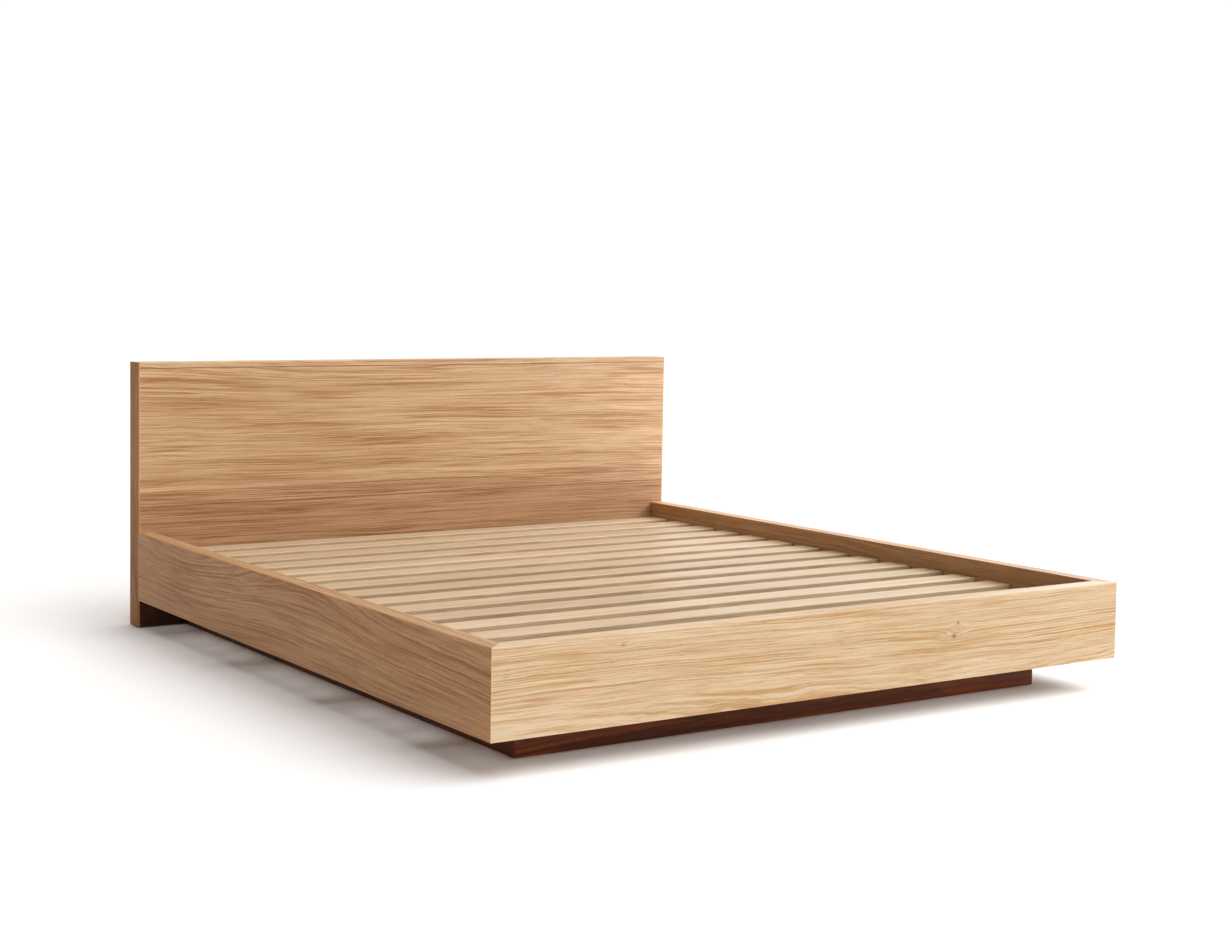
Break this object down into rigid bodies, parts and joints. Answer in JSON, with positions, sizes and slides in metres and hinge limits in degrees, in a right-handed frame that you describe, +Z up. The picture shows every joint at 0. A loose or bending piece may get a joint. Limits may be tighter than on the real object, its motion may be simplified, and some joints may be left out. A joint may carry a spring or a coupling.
{
  "type": "wooden bed frame",
  "caption": "Low oak platform bed frame with a plain slab headboard, mitred rails, slatted base and a dark recessed plinth.",
  "frame": {"origin": "on the floor under the middle of the bed frame, half way from the foot rail's outer face to the headboard's rear face", "axes": "+Z up, +Y from the foot towards the headboard, X across the bed"},
  "size_m": [1.91, 2.157, 0.795],
  "materials": {
    "oak": "satin oiled, grain across the bed",
    "oak_side": "satin oiled, grain along the bed",
    "oak_edge": "satin oiled, upright grain",
    "dark_wood": "satin, dark brown stain",
    "pine": "planed, unfinished",
    "slat_wood": "planed, unfinished",
    "beech": "raw",
    "steel": "zinc plated",
    "black_steel": "black powder coat",
    "brass": "plain",
    "glide_plastic": "moulded"
  },
  "bodies": {
    "root": {"headboard_lower_board": "oak", "headboard_middle_board": "oak", "headboard_upper_board": "oak", "headboard_top_board": "oak", "headboard_kick_board": "dark_wood", "headboard_edge_left": "oak_edge", "headboard_edge_right": "oak_edge", "headboard_back_stile_left": "oak_edge", "headboard_back_stile_right": "oak_edge", "headboard_back_bottom_rail": "oak", "headboard_back_middle_rail": "oak", "headboard_back_top_rail": "oak", "headboard_dowels": "beech", "headboard_back_screws": "steel", "side_rail_left": "oak_side", "side_rail_right": "oak_side", "foot_rail": "oak", "foot_corner_block_left": "pine", "foot_corner_block_right": "pine", "corner_block_screws": "steel", "head_bracket_left": "black_steel", "head_bracket_right": "black_steel", "head_bracket_bolts": "steel", "headboard_threaded_inserts": "brass", "head_bracket_screws": "steel", "slat_cleat_left": "pine", "slat_cleat_right": "pine", "cleat_screws": "steel", "centre_beam": "pine", "bearer_1": "pine", "bearer_2": "pine", "bearer_3": "pine", "bearer_4": "pine", "bearer_screws": "steel", "angle_brackets": "black_steel", "angle_bracket_screws": "steel", "slat_01": "slat_wood", "slat_02": "slat_wood", "slat_03": "slat_wood", "slat_04": "slat_wood", "slat_05": "slat_wood", "slat_06": "slat_wood", "slat_07": "slat_wood", "slat_08": "slat_wood", "slat_09": "slat_wood", "slat_10": "slat_wood", "slat_11": "slat_wood", "slat_12": "slat_wood", "slat_13": "slat_wood", "slat_14": "slat_wood", "slat_15": "slat_wood", "slat_screws": "steel", "plinth_side_left": "dark_wood", "plinth_side_right": "dark_wood", "plinth_foot_board": "dark_wood", "plinth_head_board": "dark_wood", "plinth_centre_board": "dark_wood", "plinth_corner_blocks": "pine", "plinth_block_screws": "steel", "floor_glides": "glide_plastic"}
  },
  "joints": []
}
